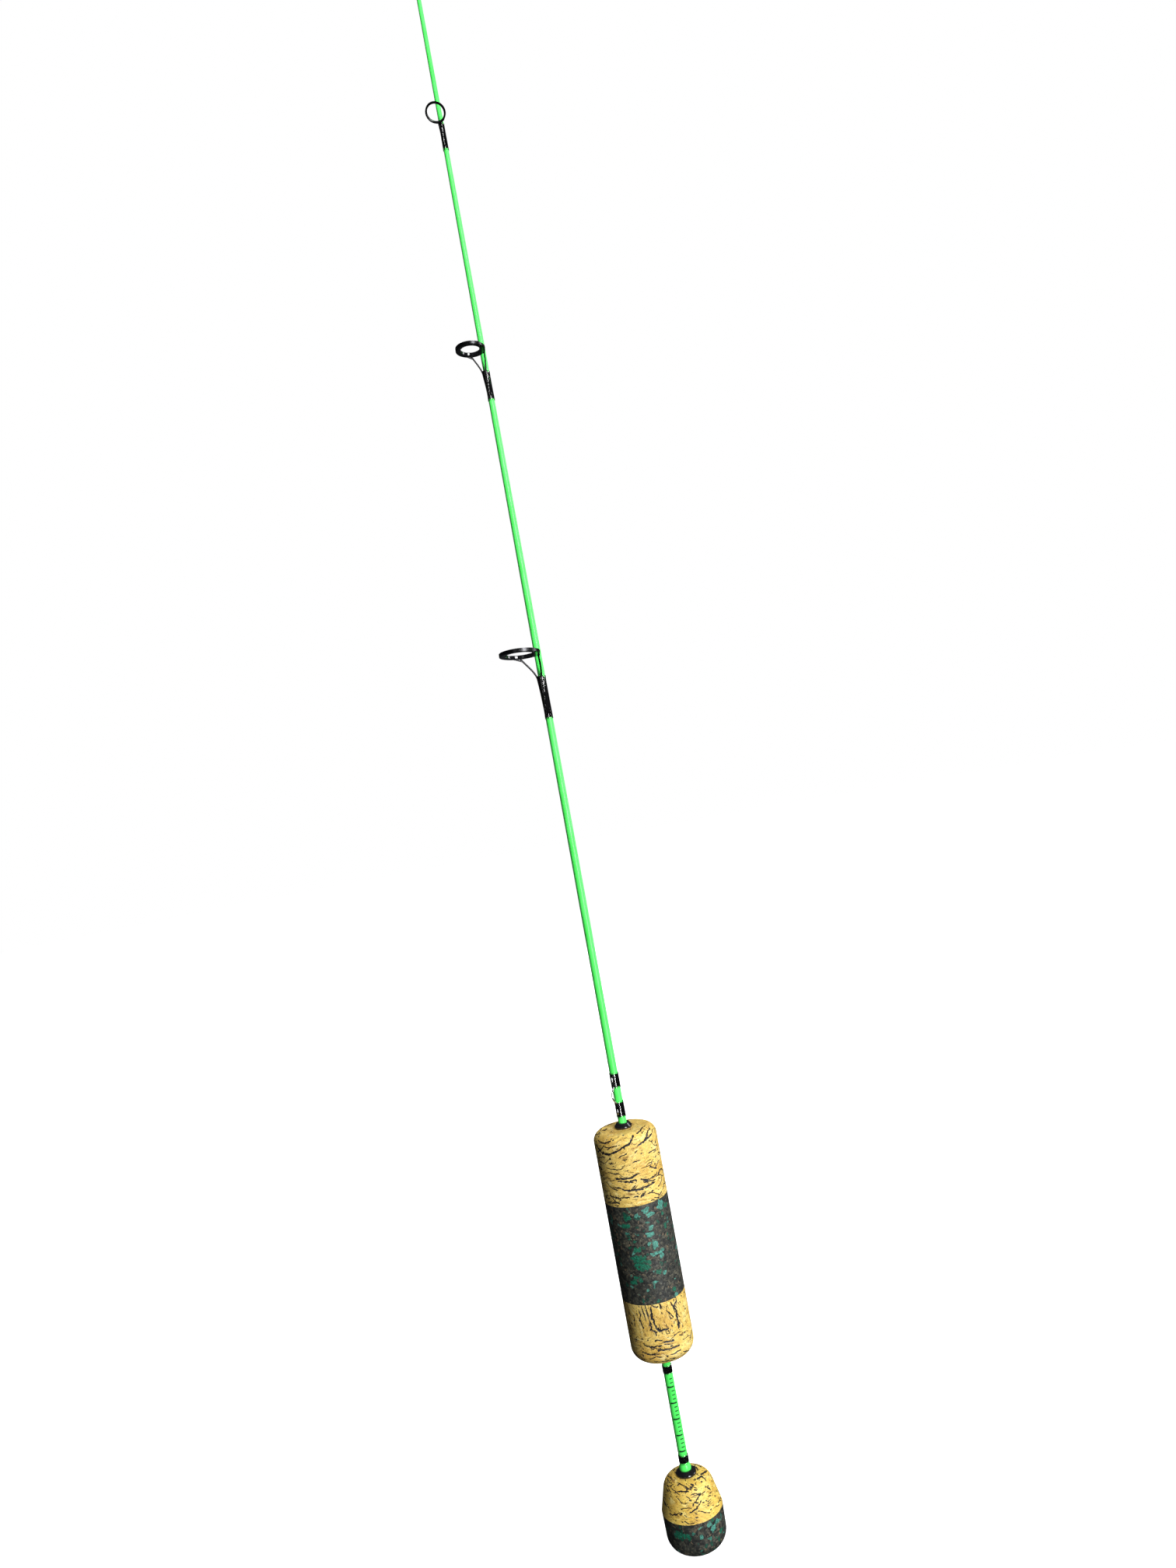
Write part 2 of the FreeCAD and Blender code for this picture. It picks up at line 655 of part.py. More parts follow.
def export_parts(parts):
    """One STEP file for each sub-part."""
    os.makedirs("parts", exist_ok=True)
    for part in parts:
        part.Shape.exportStep(f"parts/{part.Label}.step")
        print(f"{part.Label}: {len(part.Shape.Solids)} solid, {part.Shape.Volume:.2f} mm3")


rod_parts = make_rod()
check_document(rod_parts)
export_parts(rod_parts)
print(f"{len(rod_parts)} sub-parts")
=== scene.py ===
import math
import random

import bpy
import numpy as np
from mathutils import Matrix, Vector, noise
from mathutils.bvhtree import BVHTree


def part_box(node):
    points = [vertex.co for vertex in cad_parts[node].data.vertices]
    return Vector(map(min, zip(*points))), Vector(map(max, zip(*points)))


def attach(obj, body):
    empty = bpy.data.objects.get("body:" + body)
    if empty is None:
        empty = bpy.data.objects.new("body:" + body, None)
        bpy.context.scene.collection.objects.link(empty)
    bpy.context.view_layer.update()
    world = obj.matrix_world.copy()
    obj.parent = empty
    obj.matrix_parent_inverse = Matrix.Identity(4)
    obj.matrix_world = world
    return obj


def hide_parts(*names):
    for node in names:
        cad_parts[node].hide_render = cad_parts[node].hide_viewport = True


# Looks of an ice fishing rod: studio, materials, and detailed meshes where its CAD is plain.
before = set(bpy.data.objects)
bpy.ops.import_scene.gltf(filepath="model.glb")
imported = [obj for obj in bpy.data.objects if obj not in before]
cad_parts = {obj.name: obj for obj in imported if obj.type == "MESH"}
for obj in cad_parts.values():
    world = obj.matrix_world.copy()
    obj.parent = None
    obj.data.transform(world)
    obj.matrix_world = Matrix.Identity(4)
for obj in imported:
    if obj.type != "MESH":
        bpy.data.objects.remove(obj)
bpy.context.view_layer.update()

# Sizes in this script are millimetres unless a name says otherwise; meshes are made in metres.
MM = 0.001
BODY = "root"

# The camera: a short lens level with the middle of the rod, rolled so that the tip leans left.
CAMERA_AZIMUTH = math.radians(30.0)
CAMERA_DISTANCE = 456 * MM
CAMERA_HEIGHT = 301.6 * MM
CAMERA_ASIDE = 10.4 * MM
CAMERA_ROLL = math.radians(10.29)
CAMERA_LENS = 26.6
# Angles on the grips are measured from this side of the rod, which the camera faces.
FACING = CAMERA_AZIMUTH - math.pi / 2

CORK_GRID = (480, 0.17)     # faces round a cork ring, and face height on its visible skin
RUBBER_GRID = (320, 0.25)   # the same for rubber-cork, which has no thin cracks
AXIS_CLEAR = 0.1            # a CAD point nearer the rod's axis than this lies on it
EDGE_CHAMFER = 0.05         # softened edge where two rings meet
FREE_ROUNDING = 1           # an end narrower than its ring by more than this is rounded and free
CRACK_DEPTH = 0.22
STROKE_STEP = 0.45          # length of one piece of a listed crack
STROKE_BOLDNESS = 1.25      # listed cracks are cut this many times their given width
DRIFT_STEP = 0.5            # length of one piece of a random crack
CRACK_LENGTHS, CRACK_WIDTHS = (1.2, 6.5), (0.13, 0.27)     # ranges of random cracks; widths are halves
PIT_LENGTH, PIT_WIDTHS = 0.3, (0.14, 0.34)
GRANULE_DEPTH = 0.06
THREAD_PITCH = 0.22
THREAD_RIDGE = 0.035
THREAD_COLUMNS = 88         # faces round a winding
THREAD_ROWS = 4             # faces along it to each turn of thread
COLUMN_SHIFT = 0.27         # share of a column; keeps rays off the seams of CAD meshes
RAY_START = 20              # distance from the rod's axis, outside every winding
INK_THICKNESS = 0.04        # half of it stands over the paint
COAT_BULGE = 0.3            # how much a coat's gloss is rounded, to the square millimetre
COAT_MIDDLE = (0, -0.5, 0)  # middle of a coat that spans a foot or wire
GUIDES = range(1, 7)


# ---------------------------------------------------------------- studio

def camera_axes():
    """Directions towards the camera, to its right, and up the rod."""
    towards = Vector((math.sin(CAMERA_AZIMUTH), -math.cos(CAMERA_AZIMUTH), 0))
    right = Vector((math.cos(CAMERA_AZIMUTH), math.sin(CAMERA_AZIMUTH), 0))
    return towards, right, Vector((0, 0, 1))


def make_camera():
    """Camera square to the rod, with the rod's roll in the picture."""
    towards, right, up = camera_axes()
    data = bpy.data.cameras.new("camera")
    data.lens = CAMERA_LENS
    data.sensor_width = 36
    data.clip_start = 0.01
    data.clip_end = 50
    camera = bpy.data.objects.new("camera", data)
    bpy.context.scene.collection.objects.link(camera)
    across = right * math.cos(CAMERA_ROLL) - up * math.sin(CAMERA_ROLL)
    upward = right * math.sin(CAMERA_ROLL) + up * math.cos(CAMERA_ROLL)
    turn = Matrix((across, upward, towards)).transposed().to_4x4()
    place = towards * CAMERA_DISTANCE + right * CAMERA_ASIDE + up * CAMERA_HEIGHT
    camera.matrix_world = Matrix.Translation(place) @ turn
    bpy.context.scene.camera = camera


def area_light(name, azimuth, elevation, distance, size, power, target, mirrored=True):
    """Soft rectangular light that faces a target; glossy parts show it only where mirrored."""
    data = bpy.data.lights.new(name, "AREA")
    data.shape = "RECTANGLE"
    data.size, data.size_y = size
    data.energy = power
    light = bpy.data.objects.new(name, data)
    bpy.context.scene.collection.objects.link(light)
    a, e = math.radians(azimuth), math.radians(elevation)
    away = Vector((math.sin(a) * math.cos(e), -math.cos(a) * math.cos(e), math.sin(e)))
    light.location = target + away * distance
    light.rotation_euler = away.to_track_quat("Z", "Y").to_euler()
    light.visible_camera = False
    light.visible_glossy = mirrored
    light.visible_transmission = mirrored


def make_world():
    """White behind the object, and a dim room in what the object reflects."""
    world = bpy.data.worlds.new("studio")
    bpy.context.scene.world = world
    world.use_nodes = True
    nodes, links = world.node_tree.nodes, world.node_tree.links
    nodes.clear()
    seen = nodes.new("ShaderNodeBackground")
    seen.inputs["Color"].default_value = (1, 1, 1, 1)
    seen.inputs["Strength"].default_value = 1.0
    lit = nodes.new("ShaderNodeBackground")
    lit.inputs["Color"].default_value = (0.9, 0.95, 1, 1)
    lit.inputs["Strength"].default_value = 0.035
    path = nodes.new("ShaderNodeLightPath")
    mix = nodes.new("ShaderNodeMixShader")
    out = nodes.new("ShaderNodeOutputWorld")
    links.new(path.outputs["Is Camera Ray"], mix.inputs["Fac"])
    links.new(lit.outputs["Background"], mix.inputs[1])
    links.new(seen.outputs["Background"], mix.inputs[2])
    links.new(mix.outputs["Shader"], out.inputs["Surface"])


def make_floor():
    """Plain pale floor, which leaves the object's own light alone."""
    bpy.ops.mesh.primitive_circle_add(vertices=96, radius=6, fill_type="NGON", location=(0, 0, 0))
    floor = bpy.context.object
    floor.name = "floor"
    material = bpy.data.materials.new("floor")
    material.use_nodes = True
    shader = material.node_tree.nodes["Principled BSDF"]
    shader.inputs["Base Color"].default_value = (0.8, 0.8, 0.8, 1)
    shader.inputs["Roughness"].default_value = 0.9
    shader.inputs["Emission Color"].default_value = (1, 1, 1, 1)
    shader.inputs["Emission Strength"].default_value = 0.985
    floor.data.materials.append(material)
    floor.visible_diffuse = False
    floor.visible_glossy = False
    floor.visible_transmission = False


def make_studio():
    """Pale floor, white surroundings and soft lights, brightest from the camera's right."""
    bpy.context.scene.view_settings.view_transform = "Standard"
    make_world()
    make_floor()
    middle = Vector((0, 0, 0.3))
    area_light("key", 62, 6, 1.1, (0.4, 1.5), 29, middle)
    area_light("fill", 10, 5, 1.4, (0.4, 1.3), 0.9, middle)
    area_light("rim", 128, 10, 1.3, (0.3, 1.3), 8, middle)
    area_light("back", 200, 20, 1.6, (0.9, 1.3), 13, middle, False)
    area_light("top", 62, 75, 1.5, (0.8, 0.8), 8, middle, False)


# ---------------------------------------------------------------- material nodes

class Recipe:
    """A Principled material with short calls that add and link nodes."""

    def __init__(self, name, colour, roughness, **sockets):
        self.material = bpy.data.materials.new(name)
        self.material.use_nodes = True
        self.tree = self.material.node_tree
        self.shader = self.tree.nodes["Principled BSDF"]
        self.set(self.shader, "Base Color", (*colour, 1))
        self.set(self.shader, "Roughness", roughness)
        for socket, value in sockets.items():
            self.set(self.shader, socket.replace("_", " "), value)

    def set(self, node, socket, value):
        """Link a value that is an output, or write one that is a number or colour."""
        target = node.inputs[socket]
        if isinstance(value, bpy.types.NodeSocket):
            self.tree.links.new(value, target)
        else:
            target.default_value = value

    def node(self, kind, inputs=(), **settings):
        """New node of a kind, with its settings and inputs."""
        node = self.tree.nodes.new(f"ShaderNode{kind}")
        for name, value in settings.items():
            setattr(node, name, value)
        for socket, value in dict(inputs).items():
            self.set(node, socket, value)
        return node

    def millimetres(self, stretch=(1, 1, 1)):
        """Object coordinates in millimetres, stretched along the axes."""
        place = self.node("TexCoord").outputs["Object"]
        scale = tuple(1 / MM * share for share in stretch)
        return self.node("Mapping", {"Vector": place, "Scale": scale}).outputs["Vector"]

    def attribute(self, name, output="Fac"):
        """Values that the mesh carries at its points."""
        return self.node("Attribute", attribute_name=name).outputs[output]

    def stretched(self, vector, stretch):
        """A vector scaled along its axes."""
        return self.node("VectorMath", {0: vector, 1: stretch}, operation="MULTIPLY").outputs[0]

    def noise(self, vector, scale, detail=2.0, output="Fac", roughness=0.5):
        """Cloudy noise; scale is features to the millimetre."""
        inputs = {"Vector": vector, "Scale": scale, "Detail": detail, "Roughness": roughness}
        return self.node("TexNoise", inputs).outputs[output]

    def warped(self, vector, scale, reach):
        """A vector pushed about by noise, by up to half the reach."""
        push = self.noise(vector, scale, 2.0, "Color")
        middle = self.node("VectorMath", {0: push, 1: (0.5, 0.5, 0.5)}, operation="SUBTRACT").outputs[0]
        push = self.stretched(middle, (reach, reach, reach))
        return self.node("VectorMath", {0: vector, 1: push}, operation="ADD").outputs[0]

    def ramp(self, factor, stops, interpolation="LINEAR"):
        """Colours along a factor, as (position, colour) stops."""
        node = self.node("ValToRGB", {"Fac": factor})
        node.color_ramp.interpolation = interpolation
        elements = node.color_ramp.elements
        while len(elements) < len(stops):
            elements.new(0.5)
        for element, (position, colour) in zip(elements, stops):
            element.position = position
            element.color = (*colour, 1) if isinstance(colour, tuple) else (colour, colour, colour, 1)
        return node.outputs["Color"]

    def mix(self, factor, first, second, blend="MIX"):
        """Two colours mixed."""
        node = self.node("Mix", data_type="RGBA", blend_type=blend)
        for index, value in ((0, factor), (6, first), (7, second)):
            if isinstance(value, bpy.types.NodeSocket):
                self.tree.links.new(value, node.inputs[index])
            else:
                node.inputs[index].default_value = (*value, 1) if isinstance(value, tuple) else value
        return node.outputs[2]

    def maths(self, operation, first, second=0.0):
        """One sum on numbers."""
        return self.node("Math", {0: first, 1: second}, operation=operation).outputs[0]

    def bump(self, height, depth, strength=1.0):
        """Relief of a depth in millimetres."""
        inputs = {"Height": height, "Distance": depth * MM, "Strength": strength}
        self.set(self.shader, "Normal", self.node("Bump", inputs).outputs["Normal"])


def cork_material(name, blue):
    """Burl cork: wavy grain, brown smudges, dark dashes, and in the mesh's cracks dark brown that is partly
    the cork's own and partly painted shade, with black painted shade in their middles.
    """
    m = Recipe(name, (0.6, 0.36, 0.1), 0.6, Coat_Weight=0.12, Coat_Roughness=0.35)
    grain = m.attribute("grain", "Vector")
    wavy = m.warped(grain, 0.13, 7.0)
    fine = m.warped(wavy, 0.7, 0.9)
    patches = m.noise(wavy, 0.11, 3)
    colour = m.ramp(patches, [(0.3, (0.71, 0.45, 0.09 * blue)), (0.5, (0.84, 0.61, 0.15 * blue)),
                              (0.7, (0.93, 0.75, 0.25 * blue))])
    lines = m.noise(m.stretched(fine, (0.35, 0.35, 3.4)), 0.42, 3, roughness=0.6)
    streaks = m.ramp(lines, [(0.36, 0.0), (0.47, 0.45), (0.53, 0.45), (0.62, 0.0)])
    colour = m.mix(streaks, colour, (0.52, 0.29, 0.05 * blue))
    pale = m.ramp(m.noise(m.stretched(fine, (0.5, 0.5, 2.0)), 0.5, 3), [(0.55, 0.0), (0.72, 0.6)])
    colour = m.mix(pale, colour, (1.0, 0.88, 0.42 * blue))
    clouds = m.noise(m.stretched(fine, (0.6, 0.6, 2.2)), 0.36, 4, roughness=0.65)
    colour = m.mix(m.ramp(clouds, [(0.58, 0.0), (0.68, 0.8)]), colour, (0.22, 0.095, 0.02))
    dashes = m.ramp(m.noise(m.stretched(fine, (0.45, 0.45, 3.2)), 0.8, 2), [(0.63, 0.0), (0.67, 1.0)])
    colour = m.mix(dashes, colour, (0.02, 0.012, 0.01))
    flecks = m.ramp(m.noise(m.stretched(grain, (1, 1, 1.5)), 1.9, 2), [(0.63, 0.0), (0.68, 0.9)])
    colour = m.mix(flecks, colour, (0.07, 0.032, 0.012))
    mottle = m.ramp(m.noise(grain, 1.5, 4), [(0.3, 0.84), (0.7, 1.1)])
    colour = m.mix(1.0, colour, mottle, "MULTIPLY")
    cracks = m.attribute("crack")
    # Dark brown crack walls: partly the cork's own darker colour, partly painted shade in the carved
    # recesses.
    crack_wall_and_shade = m.ramp(cracks, [(0.0, 0.0), (0.2, 0.85)])
    colour = m.mix(crack_wall_and_shade, colour, (0.10, 0.045, 0.015))
    # Painted shade: near-black in the middle of each carved crack, where a deep fissure would be dark.
    crack_shade = m.ramp(cracks, [(0.08, 0.0), (0.28, 1.0)])
    colour = m.mix(crack_shade, colour, (0.004, 0.005, 0.009))
    m.set(m.shader, "Base Color", colour)
    m.set(m.shader, "Roughness", m.ramp(m.noise(grain, 0.9, 3), [(0.3, 0.48), (0.7, 0.74)]))
    m.bump(m.noise(m.stretched(fine, (0.8, 0.8, 1.6)), 1.6, 4), 0.12, 0.6)
    return m.material


def rubber_cork_material():
    """Rubberised cork: packed brown-black granules with emerald and teal chips."""
    m = Recipe("rubber_cork", (0.05, 0.05, 0.04), 0.6, Coat_Weight=0.3, Coat_Roughness=0.5)
    grain = m.warped(m.attribute("grain", "Vector"), 0.9, 0.9)

    def cells(scale, shift):
        """Random colours of packed cells, and the distance to their edges."""
        moved = m.node("VectorMath", {0: grain, 1: (shift, shift, shift)}, operation="ADD").outputs[0]
        packed = m.node("TexVoronoi", {"Vector": moved, "Scale": scale})
        edge = m.node("TexVoronoi", {"Vector": moved, "Scale": scale}, feature="DISTANCE_TO_EDGE")
        parts = m.node("SeparateColor", {"Color": packed.outputs["Color"]})
        return parts.outputs, edge.outputs["Distance"]

    parts, edge = cells(1.05, 0)
    colour = m.ramp(parts[0], [(0.0, (0.007, 0.009, 0.008)), (0.2, (0.030, 0.032, 0.025)),
                               (0.42, (0.055, 0.056, 0.042)), (0.64, (0.018, 0.022, 0.019)),
                               (0.80, (0.082, 0.078, 0.055)), (0.95, (0.14, 0.105, 0.066))], "CONSTANT")
    dust = m.ramp(m.noise(grain, 2.6, 3), [(0.35, 0.5), (0.68, 1.45)])
    colour = m.mix(1.0, colour, dust, "MULTIPLY")
    chips, chip_edge = cells(0.6, 31)
    crowd = m.noise(grain, 0.16, 2)
    pick = m.maths("ADD", chips[1], m.maths("MULTIPLY", m.maths("SUBTRACT", crowd, 0.5), 1.1))
    green = m.ramp(chips[2], [(0.0, (0.0, 0.062, 0.036)), (0.4, (0.004, 0.115, 0.066)),
                              (0.62, (0.03, 0.17, 0.125)), (0.85, (0.075, 0.27, 0.21))], "CONSTANT")
    green = m.mix(0.6, green, m.ramp(m.noise(grain, 1.3, 3), [(0.3, 0.6), (0.7, 1.3)]), "MULTIPLY")
    inside = m.ramp(chip_edge, [(0.05, 0.0), (0.12, 1.0)])
    chosen = m.ramp(pick, [(0.86, 0.0), (0.88, 1.0)])
    colour = m.mix(m.maths("MULTIPLY", chosen, inside), colour, green)
    placed = m.node("SeparateColor", {"Color": m.attribute("chips", "Color")}).outputs
    mottle = m.ramp(m.noise(grain, 1.1, 3), [(0.3, 0.55), (0.7, 1.35)])
    for part, tone in ((placed[0], (0.0, 0.125, 0.068)), (placed[1], (0.06, 0.27, 0.21))):
        blotch = m.mix(1.0, tone, mottle, "MULTIPLY")
        colour = m.mix(m.ramp(part, [(0.4, 0.0), (0.55, 1.0)]), colour, blotch)
    gap = m.ramp(edge, [(0.015, 0.35), (0.09, 1.0)])
    colour = m.mix(1.0, colour, gap, "MULTIPLY")
    m.set(m.shader, "Base Color", colour)
    m.set(m.shader, "Roughness", m.ramp(parts[1], [(0.0, 0.5), (1.0, 0.78)]))
    m.bump(m.mix(0.5, gap, m.noise(grain, 2.0, 3)), 0.12, 0.7)
    return m.material


def blank_material():
    """Neon gloss paint, a little uneven over the wound carbon under it."""
    m = Recipe("neon_paint", (0.08, 0.78, 0.11), 0.3, Coat_Weight=0.2, Coat_Roughness=0.12,
               Specular_IOR_Level=0.3)
    place = m.millimetres()
    tone = m.noise(m.millimetres((1, 1, 0.25)), 0.5, 3)
    colour = m.ramp(tone, [(0.3, (0.072, 0.84, 0.105)), (0.7, (0.105, 0.95, 0.155))])
    specks = m.ramp(m.noise(place, 2.6, 2), [(0.74, 0.0), (0.80, 0.4)])
    m.set(m.shader, "Base Color", m.mix(specks, colour, (0.03, 0.45, 0.06)))
    m.set(m.shader, "Roughness", m.ramp(m.noise(place, 1.2, 3), [(0.3, 0.26), (0.7, 0.42)]))
    tape = m.node("TexWave", {"Vector": place, "Scale": 0.12, "Distortion": 0.6, "Detail": 1.0},
                  bands_direction="Z").outputs["Fac"]
    m.bump(m.mix(0.3, tape, m.noise(place, 1.6, 2)), 0.02, 0.5)
    return m.material


def ink_material():
    """Dark green printing ink."""
    m = Recipe("green_ink", (0.01, 0.14, 0.03), 0.4)
    worn = m.noise(m.millimetres(), 3.0, 3)
    m.set(m.shader, "Base Color", m.ramp(worn, [(0.4, (0.002, 0.035, 0.008)), (0.75, (0.006, 0.09, 0.02))]))
    m.set(m.shader, "Roughness", m.ramp(worn, [(0.3, 0.3), (0.7, 0.5)]))
    return m.material


def gloss_material(name, tone, roughness, coat):
    """Black moulded plastic or glazed ceramic, with faint handling marks in its gloss."""
    m = Recipe(name, tone, roughness, Coat_Weight=coat, Coat_Roughness=0.03)
    place = m.millimetres()
    marks = m.noise(m.warped(place, 0.8, 1.0), 0.9, 4)
    m.set(m.shader, "Roughness", m.ramp(marks, [(0.35, roughness * 0.7), (0.7, roughness * 1.8)]))
    light = tuple(channel * 1.9 for channel in tone)
    m.set(m.shader, "Base Color", m.ramp(marks, [(0.35, tone), (0.75, light)]))
    m.bump(m.noise(place, 1.4, 2), 0.01, 0.35)
    return m.material


def thread_material():
    """Black nylon thread, twisted fibres catching a little light."""
    m = Recipe("nylon_thread", (0.002, 0.002, 0.002), 0.5, Specular_IOR_Level=0.02)
    place = m.millimetres()
    twist = m.noise(m.millimetres((1, 1, 5)), 1.4, 3)
    colour = m.ramp(twist, [(0.35, (0.0008, 0.0008, 0.001)), (0.7, (0.004, 0.004, 0.005))])
    m.set(m.shader, "Base Color", colour)
    m.set(m.shader, "Roughness", m.ramp(m.noise(place, 1.1, 2), [(0.3, 0.45), (0.7, 0.6)]))
    m.bump(twist, 0.02, 0.6)
    return m.material


def coat_material(name, rounded):
    """Clear brushed-on epoxy, slightly wavy; its gloss is rounded where it spans a foot or wire."""
    m = Recipe(name, (1, 1, 1), 0.03, Transmission_Weight=1.0, IOR=1.5)
    place = m.millimetres((1, 1, 0.6))
    m.set(m.shader, "Roughness", m.ramp(m.noise(place, 1.0, 2), [(0.3, 0.02), (0.7, 0.07)]))
    colour = m.ramp(m.noise(place, 0.6, 2), [(0.3, (0.97, 0.97, 0.95)), (0.7, (1, 1, 1))])
    m.set(m.shader, "Base Color", colour)
    relief = m.maths("MULTIPLY", m.noise(place, 0.4, 1), 0.003)
    if rounded:
        level = m.millimetres((1, 1, 0))
        offset = m.node("VectorMath", {0: level, 1: COAT_MIDDLE}, operation="SUBTRACT").outputs[0]
        square = m.node("VectorMath", {0: offset, 1: offset}, operation="DOT_PRODUCT").outputs["Value"]
        relief = m.maths("SUBTRACT", relief, m.maths("MULTIPLY", square, COAT_BULGE))
    m.bump(relief, 1.0)
    return m.material


def metal_material(name, tone, roughness):
    """Polished wire and strip, with drawn lines along it."""
    m = Recipe(name, tone, roughness, Metallic=1.0)
    place = m.millimetres()
    marks = m.noise(m.millimetres((4, 4, 0.7)), 1.1, 4)
    dark = tuple(channel * 0.72 for channel in tone)
    m.set(m.shader, "Base Color", m.ramp(m.noise(place, 0.9, 3), [(0.35, dark), (0.65, tone)]))
    m.set(m.shader, "Roughness", m.ramp(marks, [(0.3, roughness * 0.7), (0.7, roughness * 1.6)]))
    m.bump(marks, 0.01, 0.3)
    return m.material


def tape_material():
    """Masking tape, creped across."""
    m = Recipe("masking_tape", (0.72, 0.62, 0.4), 0.8)
    crepe = m.noise(m.millimetres((0.4, 0.4, 3)), 1.2, 3)
    m.set(m.shader, "Base Color", m.ramp(crepe, [(0.3, (0.62, 0.5, 0.3)), (0.7, (0.8, 0.7, 0.47))]))
    m.bump(crepe, 0.05)
    return m.material


def glue_material():
    """Amber epoxy in the grips' bores."""
    m = Recipe("amber_epoxy", (0.6, 0.45, 0.2), 0.3)
    cloud = m.noise(m.millimetres(), 0.5, 3)
    m.set(m.shader, "Base Color", m.ramp(cloud, [(0.3, (0.5, 0.35, 0.14)), (0.7, (0.72, 0.58, 0.3))]))
    m.set(m.shader, "Roughness", m.ramp(cloud, [(0.3, 0.2), (0.7, 0.45)]))
    return m.material


# ---------------------------------------------------------------- meshes

def add_piece(name, points, faces, material, nodes, layers=(), sharp=35):
    """New piece from points in millimetres; it rides the rod and stands for CAD nodes."""
    mesh = bpy.data.meshes.new(name)
    mesh.from_pydata((points * MM).tolist(), [], faces)
    mesh.update()
    for layer, values in dict(layers).items():
        kind = "FLOAT_VECTOR" if values.ndim == 2 else "FLOAT"
        field = "vector" if values.ndim == 2 else "value"
        data = mesh.attributes.new(layer, kind, "POINT").data
        data.foreach_set(field, values.astype(np.float32).ravel())
    mesh.materials.append(material)
    mesh.shade_smooth()
    mesh.set_sharp_from_angle(angle=math.radians(sharp))
    piece = bpy.data.objects.new(name, mesh)
    bpy.context.scene.collection.objects.link(piece)
    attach(piece, BODY)
    if nodes:
        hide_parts(*nodes)
    return piece


def loop_faces(rows, columns):
    """Faces of a closed sleeve: rows go round its section, and columns round the rod."""
    row, column = np.meshgrid(np.arange(rows), np.arange(columns), indexing="ij")
    next_row, next_column = (row + 1) % rows, (column + 1) % columns
    quads = np.stack([row * columns + column, row * columns + next_column,
                      next_row * columns + next_column, next_row * columns + column], axis=-1)
    return quads.reshape(-1, 4).tolist()


def span_faces(rows, columns):
    """Faces of a body with a point on the axis at each end; the two points come last."""
    row, column = np.meshgrid(np.arange(rows - 1), np.arange(columns), indexing="ij")
    following = (column + 1) % columns
    quads = np.stack([row * columns + column, row * columns + following,
                      (row + 1) * columns + following, (row + 1) * columns + column], axis=-1)
    faces = quads.reshape(-1, 4).tolist()
    first, last = rows * columns, rows * columns + 1
    top = (rows - 1) * columns
    for index in range(columns):
        after = (index + 1) % columns
        faces.append([first, after, index])
        faces.append([last, top + index, top + after])
    return faces


def node_points(name):
    """A CAD node's points, in millimetres."""
    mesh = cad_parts[name].data
    points = np.empty(len(mesh.vertices) * 3, dtype=np.float32)
    mesh.vertices.foreach_get("co", points)
    return points.reshape(-1, 3).astype(float) / MM


# ---------------------------------------------------------------- grip rings

class Skin:
    """Outside of a turned grip ring: the line of its section, and places along that line.

    A place is an angle in degrees from the facing side, and a climb in millimetres: height over
    the ring's foot on its wall, carried on along the section round its rounded end."""

    def __init__(self, name):
        points = node_points(name)
        section = {(round(math.hypot(x, y), 3), round(z, 3)) for x, y, z in points}
        self.low = min(z for _, z in section)
        self.high = max(z for _, z in section)
        self.bore = min(r for r, _ in section if r > AXIS_CLEAR)
        self.floor = min(z for r, z in section if abs(r - self.bore) < 0.01)
        self.line = self.outer_line(section)
        steps = np.hypot(*np.diff(self.line, axis=0).T)
        self.lengths = np.concatenate([[0], np.cumsum(steps)])
        middle = (self.low + self.high) / 2
        self.offset = (self.high - self.low) / 2 - np.interp(middle, self.line[:, 1], self.lengths)
        self.widest = self.line[:, 0].max()

    @staticmethod
    def outer_line(section):
        """Convex outside of the section, from its lowest edge up to its highest."""
        chain = []
        for r, z in sorted(section, key=lambda point: (point[1], point[0])):
            while len(chain) >= 2:
                (r0, z0), (r1, z1) = chain[-2:]
                if (r1 - r0) * (z - z0) - (z1 - z0) * (r - r0) > 0:
                    break
                chain.pop()
            chain.append((r, z))
        edge = max(r for r, z in chain if abs(z - chain[0][1]) < 1e-6)
        return np.array([point for point in chain if point[0] >= edge or point[1] > chain[0][1]])

    def at(self, climb):
        """Radius and height at a climb."""
        along = climb - self.offset
        radius = np.interp(along, self.lengths, self.line[:, 0])
        return radius, np.interp(along, self.lengths, self.line[:, 1])

    def spot(self, angle, climb):
        """Point in space at a place."""
        radius, height = self.at(climb)
        turn = math.radians(angle) + FACING
        return np.array([radius * math.cos(turn), radius * math.sin(turn), height])

    def limits(self):
        """Lowest and highest climb."""
        return self.offset, self.offset + self.lengths[-1]


def end_rows(skin, edge, step_height, free):
    """Rows of a ring's flat end, from its edge in to the bore; a free end shows and counts as skin."""
    radius, height, _ = edge
    depth = radius - skin.bore
    steps = round(depth / (2 * step_height)) if free else 2
    rows = [(radius - depth * step / steps, height, free) for step in range(1, steps + 1)]
    return rows if free else [(radius - EDGE_CHAMFER, height, False)] + rows


def ring_rows(skin, step_height):
    """Section of a ring as (radius, height, on the skin) rows, from its foot's bore outwards and up."""
    low, high = skin.limits()
    count = max(8, round((high - low) / step_height))
    wall = [(*skin.at(climb), True) for climb in np.linspace(low, high, count + 1)]
    ends = []
    for index, way in ((0, 1), (-1, -1)):
        radius, height, _ = wall[index]
        free = radius < skin.widest - FREE_ROUNDING
        ends.append(end_rows(skin, wall[index], step_height, free))
        if not free:
            wall[index] = (radius, height + EDGE_CHAMFER * way, True)
    return ends[0][::-1] + wall + ends[1]


